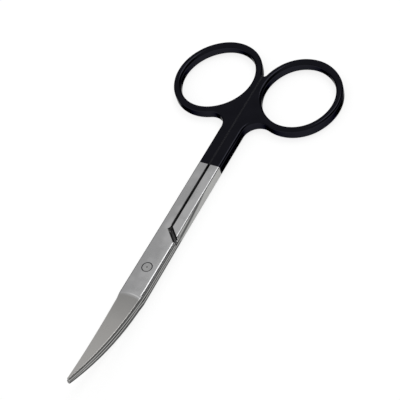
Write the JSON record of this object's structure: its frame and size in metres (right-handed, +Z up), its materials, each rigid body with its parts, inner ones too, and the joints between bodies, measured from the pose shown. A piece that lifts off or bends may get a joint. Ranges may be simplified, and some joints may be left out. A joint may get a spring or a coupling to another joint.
{
  "type": "dissecting scissors",
  "caption": "Slim steel scissors with upward-curved pointed blades, a screwed lap joint and glossy black coated finger rings.",
  "frame": {"origin": "on the pivot axis, in the plane of the flat underside on which the closed scissors lie", "axes": "+X towards the blade tips, +Y towards the lower half's finger ring, +Z up along the pivot axis, the way the blades curve"},
  "size_m": [0.1151, 0.049, 0.0082],
  "materials": {
    "satin_steel": "satin",
    "screw_steel": "satin",
    "black_coat": "glossy"
  },
  "bodies": {
    "lower_scissor_half": {"lower_half": "satin_steel", "lower_handle_coating": "black_coat"},
    "upper_scissor_half": {"upper_half": "satin_steel", "upper_handle_coating": "black_coat", "pivot_screw": "screw_steel"}
  },
  "joints": [
    {"name": "pivot", "type": "hinge", "parent": "lower_scissor_half", "child": "upper_scissor_half", "pos_m": [0, 0, 0.0016], "axis": [0, 0, 1], "range_deg": [0, 75]}
  ]
}
